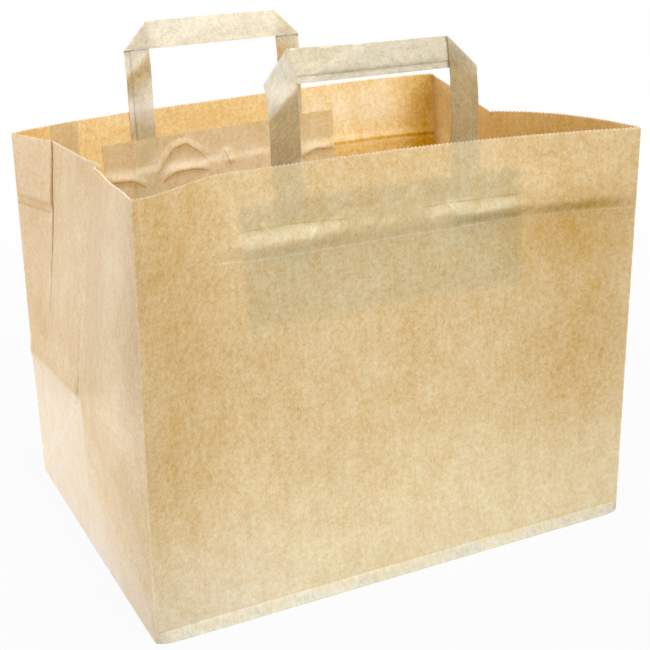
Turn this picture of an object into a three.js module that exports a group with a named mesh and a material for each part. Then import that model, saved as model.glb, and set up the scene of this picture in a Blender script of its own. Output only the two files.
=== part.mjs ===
// A block-bottom paper carrier bag with two flat paper handles, standing open.
// Millimetres, +Z up, front panel towards -Y, base on z = 0.
import * as THREE from 'three';

// The bag as it is sold
const bagWidth = 320;
const bagDepth = 225;
const bagHeight = 250;
const paper = 0.25;
const basePlies = 3;
const toothPitch = 2.5;
const toothDepth = 0.9;

// Creases left by the flat-folded bag, as heights on the sheet
const footHeight = 5.5;
const baseFoldHeight = 110;
const lowerCreaseHeight = 200;
const upperCreaseHeight = 216;

// How the opened sheet stands: how far each fold has moved from its place on a square box
const frontLeftLean = { x: 10, y: 9 };
const frontRightLean = { x: 8, y: 8.5 };
const backRightLean = { x: -4, y: 5 };
const backLeftLean = { x: 1.5, y: 0.5 };
const frontRightFoot = { x: -3, y: -4 };
const backLeftFoot = { x: -1, y: 9 };
const backLeftWaist = { x: -4, y: -10 };
const leftWaist = { x: -1.5, y: -5 };
const leftTuck = { x: 22.5, y: -9 };
const rightTuck = { x: -29, y: 2 };
const rimDroop = 4;
const frontBow = 24;
const backBow = 14;
const rightBulge = 7;
const leftBulge = 3.5;
const cornerPleat = 9;
const tuckEase = 1.3;
const footFlare = 4;
const creaseDip = 1.2;

// Handles, and the patches that hold their legs
const tapeWidth = 17.5;
const tapeThickness = 0.6;
const legSpacing = 111.5;
const handleRise = 60;
const legTail = 62;
const frontHandle = { shift: 3, tilt: 0.1, lean: 0.01, patchTilt: 0 };
const backHandle = { shift: -11, tilt: -0.03, lean: -0.04, patchTilt: 0.026 };
const patchWidth = 175;
const patchHeight = 70;
const patchDrop = 18;
const patchShift = 1.5;
const glueGap = 0.3;

// How finely curved paper is cut into flat cells
const cellWidth = 16;
const patchCell = 5;

const halfWidth = bagWidth / 2;
const halfDepth = bagDepth / 2;
const baseThickness = basePlies * paper;

const kraft = 0xd5b380;
const tapeColour = 0xcdbe96;
const patchColour = 0xcda878;

// A fold line of the sheet: straight from the base to the base fold, then easing to its place at the rim.
function foldLine(foot, waist, rim, ease = 1) {
  return (height) => {
    if (height <= baseFoldHeight) {
      return new THREE.Vector3().lerpVectors(foot, waist, height / baseFoldHeight);
    }
    const share = (height - baseFoldHeight) / (bagHeight - baseFoldHeight);
    const point = new THREE.Vector3().lerpVectors(waist, rim, share ** ease);
    point.z = THREE.MathUtils.lerp(waist.z, rim.z, share);
    return point;
  };
}

function at(x, y, z) {
  return new THREE.Vector3(x, y, z);
}

const waistShare = baseFoldHeight / bagHeight;
const frontLeftFold = foldLine(
  at(-halfWidth, -halfDepth, 0),
  at(-halfWidth + frontLeftLean.x * waistShare, -halfDepth + frontLeftLean.y * waistShare, baseFoldHeight),
  at(-halfWidth + frontLeftLean.x, -halfDepth + frontLeftLean.y, bagHeight),
);
const frontRightFold = foldLine(
  at(halfWidth + frontRightFoot.x, -halfDepth + frontRightFoot.y, 0),
  at(halfWidth + frontRightLean.x * waistShare, -halfDepth + frontRightLean.y * waistShare, baseFoldHeight),
  at(halfWidth + frontRightLean.x, -halfDepth + frontRightLean.y, bagHeight),
);
const backRightFold = foldLine(
  at(halfWidth, halfDepth, 0),
  at(halfWidth + backRightLean.x * waistShare, halfDepth + backLeftWaist.y / 4, baseFoldHeight),
  at(halfWidth + backRightLean.x, halfDepth + backRightLean.y, bagHeight),
);
const backLeftFold = foldLine(
  at(-halfWidth + backLeftFoot.x, halfDepth + backLeftFoot.y, 0),
  at(-halfWidth + backLeftWaist.x, halfDepth + backLeftWaist.y, baseFoldHeight - rimDroop / 2),
  at(-halfWidth + backLeftLean.x, halfDepth + backLeftLean.y, bagHeight - rimDroop),
);
const rightCrease = foldLine(
  at(halfWidth, 0, 0),
  at(halfWidth + rightTuck.x * 0.1, rightTuck.y * waistShare, baseFoldHeight - rimDroop / 2),
  at(halfWidth + rightTuck.x, rightTuck.y, bagHeight - rimDroop),
  tuckEase,
);
const leftCrease = foldLine(
  at(-halfWidth + backLeftFoot.x / 2, backLeftFoot.y / 2, 0),
  at(-halfWidth + leftWaist.x, leftWaist.y, baseFoldHeight - rimDroop / 2),
  at(-halfWidth + leftTuck.x, leftTuck.y, bagHeight - rimDroop),
  tuckEase,
);

// The pleat beside the back left corner folds away from the straight gusset only near the rim.
function cornerPleatFold(height) {
  const share = THREE.MathUtils.smoothstep(height, baseFoldHeight, bagHeight);
  const point = backLeftFold(height).lerp(leftCrease(height), 1 / 3);
  point.x += cornerPleat * share;
  return point;
}

// Bowing grows from nothing at the base to its full amount at the rim.
function bowShare(height) {
  return Math.sin((Math.PI / 2) * (height / bagHeight));
}

// The shallow ridge that each crease across the front leaves.
function creaseRidge(height) {
  const reach = upperCreaseHeight - lowerCreaseHeight;
  const lower = Math.max(0, 1 - Math.abs(height - lowerCreaseHeight) / reach);
  const upper = Math.max(0, 1 - Math.abs(height - upperCreaseHeight) / reach);
  return creaseDip * (lower - upper / 2);
}

// The front is pushed in most on its left, and its foot bulges out below the lowest crease.
function frontShape(share, height) {
  const leftRise = THREE.MathUtils.smoothstep(share, 0, 0.2);
  const rightFall = 1 - Math.max(0, 2 * share - 1) ** 1.7;
  const flat = 1 - (2 * share - 1) ** 8;
  const foot = footFlare * Math.max(0, 1 - height / footHeight);
  return at(0, frontBow * leftRise * rightFall * bowShare(height) - (foot + creaseRidge(height)) * flat, 0);
}

function backShape(share, height) {
  return at(0, backBow * (1 - (2 * share - 1) ** 4) * bowShare(height), 0);
}

// Towards the crease the rim of this half droops late, so it stands higher than a straight line would.
function rightFrontShape(share, height) {
  const bulge = rightBulge * Math.sin(Math.PI * share);
  const lift = rimDroop * (share - share ** 3);
  return at(bulge, 0, lift).multiplyScalar(bowShare(height));
}

function leftFrontShape(share, height) {
  return at(-leftBulge * Math.sin(Math.PI * share) * bowShare(height), 0, 0);
}

function flatShape() {
  return at(0, 0, 0);
}

// The sheet's panels between folds, going round the bag from the front left corner.
const front = { start: frontLeftFold, end: frontRightFold, shape: frontShape };
const rightFront = { start: frontRightFold, end: rightCrease, shape: rightFrontShape };
const rightBack = { start: rightCrease, end: backRightFold, shape: flatShape };
const back = { start: backRightFold, end: backLeftFold, shape: backShape };
const leftPleat = { start: backLeftFold, end: cornerPleatFold, shape: flatShape };
const leftBack = { start: cornerPleatFold, end: leftCrease, shape: flatShape };
const leftFront = { start: leftCrease, end: frontLeftFold, shape: leftFrontShape };
const panels = [front, rightFront, rightBack, back, leftPleat, leftBack, leftFront];

function panelPoint(panel, share, height) {
  const point = panel.start(height).lerp(panel.end(height), share);
  return point.add(panel.shape(share, height));
}

// Where the outer face of a panel lies at a given x and z.
function panelDepth(panel, x, z) {
  let height = z;
  let share = 0.5;
  for (let round = 0; round < 6; round += 1) {
    const start = panel.start(height);
    const end = panel.end(height);
    share = (x - start.x) / (end.x - start.x);
    height += z - panelPoint(panel, share, height).z;
  }
  return panelPoint(panel, share, height).y;
}

// Collects triangles between rows of points, which run left to right as seen from the side they face.
class Skin {
  constructor() {
    this.positions = [];
  }

  triangle(...corners) {
    for (const corner of corners) {
      this.positions.push(corner.x, corner.y, corner.z);
    }
  }

  quad(a, b, c, d) {
    this.triangle(a, b, c);
    this.triangle(a, c, d);
  }

  strip(lower, upper) {
    for (let i = 0; i + 1 < lower.length; i += 1) {
      this.quad(lower[i], lower[i + 1], upper[i + 1], upper[i]);
    }
  }

  // The same strip seen from behind, with its cells cut along the same diagonals.
  stripBehind(lower, upper) {
    for (let i = 0; i + 1 < lower.length; i += 1) {
      this.quad(lower[i], upper[i], upper[i + 1], lower[i + 1]);
    }
  }

  // A fine toothed row on a coarse one: each cell of the coarse row carries a list of fine points.
  fringe(lower, cells) {
    cells.forEach((cell, i) => {
      const middle = Math.floor(cell.length / 2);
      for (let k = 0; k + 1 < cell.length; k += 1) {
        this.triangle(lower[k < middle ? i : i + 1], cell[k + 1], cell[k]);
      }
      this.triangle(lower[i], lower[i + 1], cell[middle]);
    });
  }

  // The same fringe seen from behind.
  fringeBehind(lower, cells) {
    this.fringe([...lower].reverse(), cells.map((cell) => [...cell].reverse()).reverse());
  }

  fan(centre, row) {
    for (let i = 0; i + 1 < row.length; i += 1) {
      this.triangle(centre, row[i], row[i + 1]);
    }
  }

  mesh(name, colour) {
    const geometry = new THREE.BufferGeometry();
    geometry.setAttribute('position', new THREE.Float32BufferAttribute(this.positions, 3));
    geometry.computeVertexNormals();
    const paint = new THREE.MeshStandardMaterial({ color: colour, roughness: 0.85, metalness: 0 });
    const mesh = new THREE.Mesh(geometry, paint);
    mesh.name = name;
    return mesh;
  }
}

// A closed row of points moved towards the inside of the bag by a wall's thickness.
function inset(row, distance) {
  const count = row.length - 1;
  const moved = row.slice(0, count).map((point, i) => {
    const before = row[(i + count - 1) % count];
    const after = row[(i + 1) % count];
    const arriving = at(before.y - point.y, point.x - before.x, 0).normalize();
    const leaving = at(point.y - after.y, after.x - point.x, 0).normalize();
    const direction = arriving.clone().add(leaving).normalize();
    return point.clone().addScaledVector(direction, distance / direction.dot(arriving));
  });
  return [...moved, moved[0]];
}

// Panel shares of the columns, so that every cell is about as wide as the next.
function columnShares(panel) {
  const width = panel.start(0).distanceTo(panel.end(0));
  const count = Math.max(2, Math.round(width / cellWidth));
  return Array.from({ length: count + 1 }, (_, i) => i / count);
}

// Heights of the sheet's rows: one on every crease, and more between them where the paper curves.
const creaseGap = upperCreaseHeight - lowerCreaseHeight;
const belowCreases = lowerCreaseHeight - creaseGap;
const rowHeights = [
  0, footHeight, baseFoldHeight / 4, baseFoldHeight / 2, 0.75 * baseFoldHeight, baseFoldHeight,
  THREE.MathUtils.lerp(baseFoldHeight, belowCreases, 1 / 3),
  THREE.MathUtils.lerp(baseFoldHeight, belowCreases, 2 / 3),
  belowCreases, lowerCreaseHeight, upperCreaseHeight, upperCreaseHeight + creaseGap, bagHeight - 4 * toothPitch,
];

// The same rows for what is glued to the sheet, from its own lower edge to its upper one.
function rowsBetween(low, high) {
  return [low, ...rowHeights.filter((height) => height > low + 1 && height < high - 1), high];
}

function bodyRow(height) {
  const row = [];
  for (const panel of panels) {
    for (const share of columnShares(panel).slice(0, -1)) {
      row.push(panelPoint(panel, share, height));
    }
  }
  return [...row, row[0]];
}

// A toothed edge along a stretch of sheet, from valley to valley.
function teeth(edgePoint, from, to, width) {
  const count = Math.max(1, Math.round(width / toothPitch));
  return Array.from({ length: 2 * count + 1 }, (_, k) => {
    const share = THREE.MathUtils.lerp(from, to, k / (2 * count));
    return edgePoint(share, k % 2 ? 0 : toothDepth);
  });
}

// The toothed rim, as one list of points for each cell of the row below it.
function bodyRim() {
  return panels.flatMap((panel) => {
    const shares = columnShares(panel);
    const width = panel.start(0).distanceTo(panel.end(0)) / (shares.length - 1);
    const edgePoint = (share, cut) => panelPoint(panel, share, bagHeight - cut);
    return shares.slice(1).map((share, i) => teeth(edgePoint, shares[i], share, width));
  });
}

function flatten(cells) {
  return [cells[0][0], ...cells.flatMap((cell) => cell.slice(1))];
}

// The same points again, shared out over cells as the outer rim's are.
function shareOut(row, cells) {
  let next = 0;
  return cells.map((cell) => {
    const part = row.slice(next, next + cell.length);
    next += cell.length - 1;
    return part;
  });
}

function bagBody() {
  const heights = rowHeights;
  const outer = heights.map(bodyRow);
  const inner = heights.map((height) => inset(bodyRow(Math.max(height, baseThickness)), paper));
  const outerRim = bodyRim();
  const outerEdge = flatten(outerRim);
  const innerEdge = inset(outerEdge, paper);
  const skin = new Skin();
  for (let i = 0; i + 1 < heights.length; i += 1) {
    skin.strip(outer[i], outer[i + 1]);
    skin.stripBehind(inner[i], inner[i + 1]);
  }
  skin.fringe(outer.at(-1), outerRim);
  skin.fringeBehind(inner.at(-1), shareOut(innerEdge, outerRim));
  skin.strip(outerEdge, innerEdge);
  skin.fan(at(0, 0, 0), [...outer[0]].reverse());
  skin.fan(at(0, 0, baseThickness), inner[0]);
  return skin.mesh('bag_body', kraft);
}

// The two sides with fittings: the panel they are glued to, and which way is inwards from it.
const frontSide = { ...frontHandle, panel: front, inwards: 1, rim: bagHeight };
const backSide = { ...backHandle, panel: back, inwards: -1, rim: bagHeight - rimDroop / 2 };

// Depth of a panel's inner face; above the rim it goes on as the plane that the handle stands in.
function innerFace(side, x, z) {
  if (z <= side.rim) {
    return panelDepth(side.panel, x, z) + side.inwards * paper;
  }
  const legs = [-1, 1].map((end) => side.shift + (end * legSpacing) / 2);
  const depths = legs.map((leg) => panelDepth(side.panel, leg, side.rim));
  const foot = THREE.MathUtils.mapLinear(x, ...legs, ...depths) + side.inwards * paper;
  return foot + side.tilt * (z - side.rim);
}

// A point of the handle tape, a given distance in from the panel's inner face.
function tapePoint(side, along, z, layer) {
  const x = side.shift + along + side.lean * Math.max(0, z - side.rim);
  return at(x, innerFace(side, x, z) + side.inwards * layer, z);
}

// Cross-sections of the tape from the foot of one leg, over the bar, to the foot of the other. Each section
// has the two edges of the face that lies on the panel, then the same two edges on the other face.
function tapeSections(side) {
  const half = tapeWidth / 2;
  const top = side.rim + handleRise;
  const shoulder = top - tapeWidth;
  const turn = tapeThickness * Math.SQRT2;
  const legLayers = [glueGap, glueGap + tapeThickness];
  const barLayers = [2 * glueGap + 2 * tapeThickness, 2 * glueGap + tapeThickness];
  const barStops = 6;
  const leg = (end) => {
    const outerEdge = (end * (legSpacing + tapeWidth)) / 2;
    const innerEdge = (end * (legSpacing - tapeWidth)) / 2;
    const sections = rowsBetween(side.rim - legTail, side.rim).map((z) => legLayers.flatMap((layer) => [
      tapePoint(side, outerEdge, z, layer), tapePoint(side, innerEdge, z, layer),
    ]));
    sections.push([
      tapePoint(side, outerEdge, shoulder, legLayers[0]), tapePoint(side, innerEdge, top, legLayers[0]),
      tapePoint(side, outerEdge, shoulder - turn, legLayers[1]), tapePoint(side, innerEdge, top - turn, legLayers[1]),
    ]);
    return sections;
  };
  const bar = [];
  for (let i = 0; i <= barStops; i += 1) {
    const share = (2 * i) / barStops - 1;
    const low = (share * (legSpacing + tapeWidth)) / 2;
    const high = (share * (legSpacing - tapeWidth)) / 2;
    const tuck = turn * share * Math.abs(share);
    bar.push([
      tapePoint(side, low, shoulder, barLayers[0]), tapePoint(side, high, top, barLayers[0]),
      tapePoint(side, low - tuck, shoulder, barLayers[1]), tapePoint(side, high - tuck, top, barLayers[1]),
    ]);
  }
  return [...leg(-1), ...bar, ...leg(1).reverse()];
}

function handle(name, side) {
  const sections = tapeSections(side);
  const skin = new Skin();
  const around = ([a, b, c, d]) => (side.inwards > 0 ? [a, b, d, c, a] : [b, a, c, d, b]);
  for (let i = 0; i + 1 < sections.length; i += 1) {
    skin.strip(around(sections[i]), around(sections[i + 1]));
  }
  const [first, last] = [around(sections[0]), around(sections.at(-1))];
  skin.quad(first[3], first[2], first[1], first[0]);
  skin.quad(last[0], last[1], last[2], last[3]);
  return skin.mesh(name, tapeColour);
}

// The patch lies on the panel and climbs over the two legs that it holds.
function patchLift(side, x) {
  const beside = Math.min(...[-1, 1].map((end) => Math.abs(x - side.shift - (end * legSpacing) / 2)));
  const clear = tapeWidth / 2 + patchCell;
  const cover = 1 - THREE.MathUtils.smoothstep(beside, clear, clear + 2 * patchCell);
  return glueGap + cover * (tapeThickness + glueGap);
}

function patch(name, side) {
  const top = side.rim - patchDrop;
  const columns = Math.round(patchWidth / patchCell);
  const shares = Array.from({ length: columns + 1 }, (_, i) => i / columns);
  const heights = rowsBetween(top - patchHeight, top - toothPitch);
  const middle = side.shift + patchShift;
  const point = (share, level, layer) => {
    const x = middle + side.inwards * patchWidth * (0.5 - share);
    const z = level + side.patchTilt * (x - middle);
    return at(x, innerFace(side, x, z) + side.inwards * (patchLift(side, x) + layer), z);
  };
  const facing = heights.map((z) => shares.map((share) => point(share, z, paper)));
  const glued = heights.map((z) => shares.map((share) => point(share, z, 0)));
  const rim = (layer) => shares.slice(1).map((share, i) => teeth(
    (place, cut) => point(place, top - cut, layer), shares[i], share, patchCell,
  ));
  const skin = new Skin();
  for (let i = 0; i + 1 < heights.length; i += 1) {
    skin.strip(facing[i], facing[i + 1]);
    skin.stripBehind(glued[i], glued[i + 1]);
  }
  skin.fringe(facing.at(-1), rim(paper));
  skin.fringeBehind(glued.at(-1), rim(0));
  skin.strip(flatten(rim(paper)), flatten(rim(0)));
  skin.strip(glued[0], facing[0]);
  const edges = (column, valley) => [
    [...facing.map((row) => row.at(column)), rim(paper).at(column).at(valley)],
    [...glued.map((row) => row.at(column)), rim(0).at(column).at(valley)],
  ];
  const [nearFacing, nearGlued] = edges(0, 0);
  const [farFacing, farGlued] = edges(-1, -1);
  skin.strip(nearFacing, nearGlued);
  skin.strip(farGlued, farFacing);
  return skin.mesh(name, patchColour);
}

const bag = new THREE.Group();
bag.name = 'paper_carrier_bag';
bag.add(bagBody());
bag.add(handle('front_handle', frontSide), patch('front_patch', frontSide));
bag.add(handle('back_handle', backSide), patch('back_patch', backSide));

// The origin is under the middle of the whole bag.
const middle = new THREE.Box3().setFromObject(bag).getCenter(new THREE.Vector3());
bag.position.set(-middle.x, -middle.y, 0);

export default bag;
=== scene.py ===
"""A kraft paper carrier bag with flat paper handles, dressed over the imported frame."""
import math

import bpy
import numpy as np
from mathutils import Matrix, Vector


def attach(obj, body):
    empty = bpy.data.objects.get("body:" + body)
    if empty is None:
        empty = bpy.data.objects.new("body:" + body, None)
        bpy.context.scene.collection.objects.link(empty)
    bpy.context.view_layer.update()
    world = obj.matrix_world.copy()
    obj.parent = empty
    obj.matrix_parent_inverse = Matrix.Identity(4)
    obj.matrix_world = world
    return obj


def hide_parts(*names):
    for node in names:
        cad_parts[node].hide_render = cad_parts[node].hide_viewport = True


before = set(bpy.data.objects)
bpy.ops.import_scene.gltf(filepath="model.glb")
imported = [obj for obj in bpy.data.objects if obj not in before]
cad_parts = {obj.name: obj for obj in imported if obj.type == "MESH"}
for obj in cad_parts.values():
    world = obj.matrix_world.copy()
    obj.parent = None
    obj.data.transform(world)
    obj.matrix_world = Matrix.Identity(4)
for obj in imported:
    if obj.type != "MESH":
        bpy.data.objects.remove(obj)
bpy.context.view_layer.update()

# Sizes in millimetres, as on the CAD model. The bag's own axes are moved under its middle at the end.
MM = 0.001
BAG_MIDDLE = (1.986, 5.079)
BAG_WIDTH = 320.0
BAG_DEPTH = 225.0
BAG_HEIGHT = 250.0
PAPER = 0.25
TOOTH_PITCH = 2.5
TOOTH_DEPTH = 0.9
FOOT_HEIGHT = 5.5
BASE_FOLD = 110.0
UPPER_CREASE = 216.0
HALF_WIDTH = BAG_WIDTH / 2
HALF_DEPTH = BAG_DEPTH / 2

# How the opened sheet stands
FRONT_BOW = 24.0
BACK_BOW = 14.0
RIGHT_BULGE = 7.0
LEFT_BULGE = 3.5
CORNER_PLEAT = 9.0
CREASE_BEND = 1.8
TUCK_EASE = 1.3
FOOT_FLARE = 4.0
RIM_DROOP = 4.0
ROLL_BACK = 2.5
CORNER_LIFT = 1.6
CORNER_CURL = 1.6
# The left gusset's front half at the rim doubles back beside its crease: share across, and how far out
BEAK = [(0, 0), (0.023, 5.3), (0.18, 3.9), (0.45, 3.5), (0.62, 2.2), (0.75, 0.9), (1, 0)]
BEAK_GROWTH = [(170, 0), (197, 0.3), (210, 0.4), (227, 0.52), (241, 0.6), (250, 1)]

# Handles and patches
TAPE_WIDTH = 17.5
TAPE_THICKNESS = 0.6
LEG_SPACING = 111.5
LEG_TAIL = 62.0
PATCH_WIDTH = 175.0
PATCH_HEIGHT = 70.0
PATCH_DROP = 18.0
PATCH_SHIFT = 1.5
GLUE_GAP = 0.3
SEAM_START = 818.0
SEAM_END = 837.5


def smooth(x, low, high):
    """0 up to low, 1 from high on, and an even curve between them."""
    t = np.clip((x - low) / (high - low), 0, 1)
    return t * t * (3 - 2 * t)


def fold_line(foot, waist, rim, ease=1.0):
    """A fold of the sheet: straight up to the base fold, then easing to its place at the rim."""
    foot, waist, rim = (np.array(p, float) for p in (foot, waist, rim))
    powers = np.array([ease, ease, 1.0])

    def line(height):
        h = np.asarray(height, float)[..., None]
        low = foot + (waist - foot) * np.minimum(h / BASE_FOLD, 1)
        share = np.maximum((h - BASE_FOLD) / (BAG_HEIGHT - BASE_FOLD), 0)
        high = waist + (rim - waist) * share ** powers
        return np.where(h <= BASE_FOLD, low, high)

    return line


WAIST = BASE_FOLD / BAG_HEIGHT
front_left = fold_line(
    (-HALF_WIDTH, -HALF_DEPTH, 0),
    (-HALF_WIDTH + 10 * WAIST, -HALF_DEPTH + 9 * WAIST, BASE_FOLD),
    (-HALF_WIDTH + 10, -HALF_DEPTH + 9, BAG_HEIGHT + CORNER_LIFT),
)
front_right = fold_line(
    (HALF_WIDTH - 3, -HALF_DEPTH - 4, 0),
    (HALF_WIDTH + 8 * WAIST, -HALF_DEPTH + 8.5 * WAIST, BASE_FOLD),
    (HALF_WIDTH + 8, -HALF_DEPTH + 8.5, BAG_HEIGHT),
)
back_right = fold_line(
    (HALF_WIDTH, HALF_DEPTH, 0),
    (HALF_WIDTH - 4 * WAIST, HALF_DEPTH - 2.5, BASE_FOLD),
    (HALF_WIDTH - 4, HALF_DEPTH + 5, BAG_HEIGHT + CORNER_LIFT),
)
back_left = fold_line(
    (-HALF_WIDTH - 1, HALF_DEPTH + 9, CORNER_CURL),
    (-HALF_WIDTH - 4, HALF_DEPTH - 10, BASE_FOLD - RIM_DROOP / 2),
    (-HALF_WIDTH + 1.5, HALF_DEPTH + 0.5, BAG_HEIGHT - RIM_DROOP),
)
right_crease = fold_line(
    (HALF_WIDTH, 0, 0),
    (HALF_WIDTH - 2.9, 2 * WAIST, BASE_FOLD - RIM_DROOP / 2),
    (HALF_WIDTH - 29, 2, BAG_HEIGHT - RIM_DROOP),
    TUCK_EASE,
)
left_crease = fold_line(
    (-HALF_WIDTH - 0.5, 4.5, 0),
    (-HALF_WIDTH - 1.5, -5, BASE_FOLD - RIM_DROOP / 2),
    (-HALF_WIDTH + 24.5, -6.5, BAG_HEIGHT - RIM_DROOP + 1),
    TUCK_EASE,
)


def pleat_share(height):
    """Where the small fold beside the back left corner runs, as a share of the gusset's back half."""
    return 0.317 + 0.00113 * (BAG_HEIGHT - np.maximum(height, BASE_FOLD))


def corner_pleat(height):
    height = np.asarray(height, float)
    share = pleat_share(height)[..., None]
    point = back_left(height) * (1 - share) + left_crease(height) * share
    point[..., 0] += CORNER_PLEAT * smooth(height, BASE_FOLD, BAG_HEIGHT)
    return point


def bow_share(height):
    return np.sin(math.pi / 2 * height / BAG_HEIGHT)


def moved(share, x=0.0, y=0.0, z=0.0):
    """A shift for each point of a panel."""
    return np.stack(np.broadcast_arrays(x + 0 * share, y + 0 * share, z + 0 * share), -1)


def front_shape(share, height):
    left_rise = smooth(share, 0, 0.2)
    right_fall = 1 - np.maximum(0, 2 * share - 1) ** 1.7
    flat = 1 - (2 * share - 1) ** 40
    foot = FOOT_FLARE * np.maximum(0, 1 - height / FOOT_HEIGHT) * flat
    roll = ROLL_BACK * left_rise * (1 - share ** 6) * np.maximum(0, (height - 205) / 45) ** 1.6
    return moved(share, y=FRONT_BOW * left_rise * right_fall * bow_share(height) + roll - foot)


def back_shape(share, height):
    return moved(share, y=BACK_BOW * (1 - (2 * share - 1) ** 4) * bow_share(height))


def right_front_shape(share, height):
    grown = bow_share(height)
    return moved(
        share,
        x=RIGHT_BULGE * np.sin(math.pi * share) * grown,
        z=RIM_DROOP * (share - share ** 3) * grown,
    )


def left_front_shape(share, height):
    grown = np.interp(height, *zip(*BEAK_GROWTH))
    plain = LEFT_BULGE * np.sin(math.pi * share) * bow_share(height)
    beak = np.interp(share, *zip(*BEAK))
    return moved(share, x=-plain * (1 - grown) - beak * grown)


def left_back_shape(share, height):
    """The half behind the left crease bends in beside it."""
    ridge = np.interp(share, [0, 0.76, 1], [0, 1, 0])
    return moved(share, x=-CREASE_BEND * ridge * bow_share(height))


def flat_shape(share, height):
    return moved(share + 0 * height)


# Where the folds lie along the flat sheet, going round from the front left corner
SHEET_ROUND = 2 * (BAG_WIDTH + BAG_DEPTH)
RIGHT_START = BAG_WIDTH
RIGHT_MIDDLE = RIGHT_START + HALF_DEPTH
BACK_START = RIGHT_START + BAG_DEPTH
LEFT_START = BACK_START + BAG_WIDTH
LEFT_MIDDLE = LEFT_START + HALF_DEPTH


def at(place):
    """A place along the sheet that is the same at all heights."""
    return lambda height: place + 0 * np.asarray(height, float)


def pleat_place(height):
    return LEFT_START + HALF_DEPTH * pleat_share(np.asarray(height, float))


# Each panel's two folds, its shape, where it starts and ends on the flat sheet, and its columns
PANELS = {
    "front": (front_left, front_right, front_shape, at(0), at(RIGHT_START), 128),
    "right_front": (front_right, right_crease, right_front_shape, at(RIGHT_START), at(RIGHT_MIDDLE), 45),
    "right_back": (right_crease, back_right, flat_shape, at(RIGHT_MIDDLE), at(BACK_START), 45),
    "back": (back_right, back_left, back_shape, at(BACK_START), at(LEFT_START), 128),
    "left_pleat": (back_left, corner_pleat, flat_shape, at(LEFT_START), pleat_place, 16),
    "left_back": (corner_pleat, left_crease, left_back_shape, pleat_place, at(LEFT_MIDDLE), 30),
    "left_front": (left_crease, front_left, left_front_shape, at(LEFT_MIDDLE), at(SHEET_ROUND), 45),
}


def panel_point(name, share, height):
    start, end, shape = PANELS[name][:3]
    share, height = np.broadcast_arrays(np.asarray(share, float), np.asarray(height, float))
    a, b = start(height), end(height)
    return a + (b - a) * share[..., None] + shape(share, height)


def sheet_place(name, share, height):
    """Distance along the flat sheet of a point on a panel."""
    begin, finish = PANELS[name][3:5]
    return begin(height) + (finish(height) - begin(height)) * share


def stroke(u, v, points, width):
    """A line drawn on the sheet: 1 along it, falling to 0 at width from it and towards its two ends."""
    value = np.zeros(np.broadcast(u, v).shape)
    points = np.array(points, float)
    lengths = np.hypot(*(points[1:] - points[:-1]).T)
    total = lengths.sum()
    done = 0.0
    for a, b, length in zip(points[:-1], points[1:], lengths):
        t = np.clip(((u - a[0]) * (b[0] - a[0]) + (v - a[1]) * (b[1] - a[1])) / length ** 2, 0, 1)
        away = np.hypot(u - a[0] - t * (b[0] - a[0]), v - a[1] - t * (b[1] - a[1]))
        along = (done + t * length) / total
        fade = np.clip(6 * np.minimum(along, 1 - along), 0, 1)
        value = np.maximum(value, np.maximum(0, 1 - away / width) * fade)
        done += length
    return value


WAVE_COUNT = 7


def waves(u, v, scale, seed):
    """A gentle uneven surface, from -1 to 1."""
    rng = np.random.default_rng(seed)
    total = 0.0
    for _ in range(WAVE_COUNT):
        angle = rng.uniform(0, math.pi)
        length = scale * rng.uniform(0.6, 1.8)
        phase = rng.uniform(0, 2 * math.pi)
        run = u * math.cos(angle) + v * math.sin(angle)
        total = total + np.sin(2 * math.pi * run / length + phase)
    return total / WAVE_COUNT


# The crease round the bag where its top was folded over for packing: height and depth along the sheet
RING_HEIGHT = [
    (0, 206), (50, 203), (77, 200.3), (195, 200), (245, 202), (296, 201.7), (320, 201), (432, 206),
]
RING_DEPTH = [
    (0, 0.6), (55, 0.5), (80, 1.5), (130, 1.5), (150, 1.1), (195, 1.1), (210, 2.0),
    (320, 2.0), (400, 0.8), (855, 0.8), (866, 1.8), (900, 1.8), (908, 0),
]
# The second crease, where the folded top met the handle patch
SECOND_DEPTH = [
    (62, 0), (70, 1.1), (87, 1.2), (91, 2.0), (112, 2.0), (118, 1.3), (135, 0.6), (175, 0.4),
    (190, 1.1), (240, 1.0), (250, 0),
]
# Fold lines left by making the flat bottom, on the left gusset
BACK_DIAGONAL = [
    (LEFT_MIDDLE - 2, 105), (LEFT_MIDDLE - 46, 64), (LEFT_START + 28, 30), (LEFT_START + 1, 4),
]
FRONT_DIAGONAL = [
    (LEFT_MIDDLE + 2, 71), (LEFT_MIDDLE + 18, 60), (LEFT_MIDDLE + 40, 50), (LEFT_MIDDLE + 64, 42.5),
    (LEFT_MIDDLE + 85, 33), (LEFT_MIDDLE + 101, 25), (LEFT_MIDDLE + 110, 14), (LEFT_MIDDLE + 112, 3),
]
FRONT_WRINKLES = [[(81, 220), (90, 210)], [(117, 218), (109.5, 208)], [(198, 216.5), (205, 209)]]
FOLD_PLACES = [0, RIGHT_START, RIGHT_MIDDLE, BACK_START, LEFT_START, LEFT_MIDDLE, SHEET_ROUND]
# How far each line stands out of the sheet or into it, and how wide it is
WRINKLE_RIDGE, WRINKLE_WIDTH = 0.5, 2.6
PLEAT_GROOVE, PLEAT_GROOVE_WIDTH = 0.8, 0.6
BASE_RIDGE, BASE_RIDGE_WIDTH = 1.9, 18
BACK_RIDGE, BACK_RIDGE_WIDTH = 1.4, 12
FRONT_RIDGE, FRONT_RIDGE_WIDTH = 2.0, 9


def along(knots, u):
    """A value that is given at some places along the sheet, at any place on it."""
    places, values = zip(*knots)
    return np.interp(u, places, values)


def ring_crease(u, v):
    """The paper stands out above the packing crease and falls back towards the rim."""
    above = v - along(RING_HEIGHT, u)
    ring = smooth(above, 0, 6.5) * (1 - smooth(above, 7, 38))
    return along(RING_DEPTH, u) * ring


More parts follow.
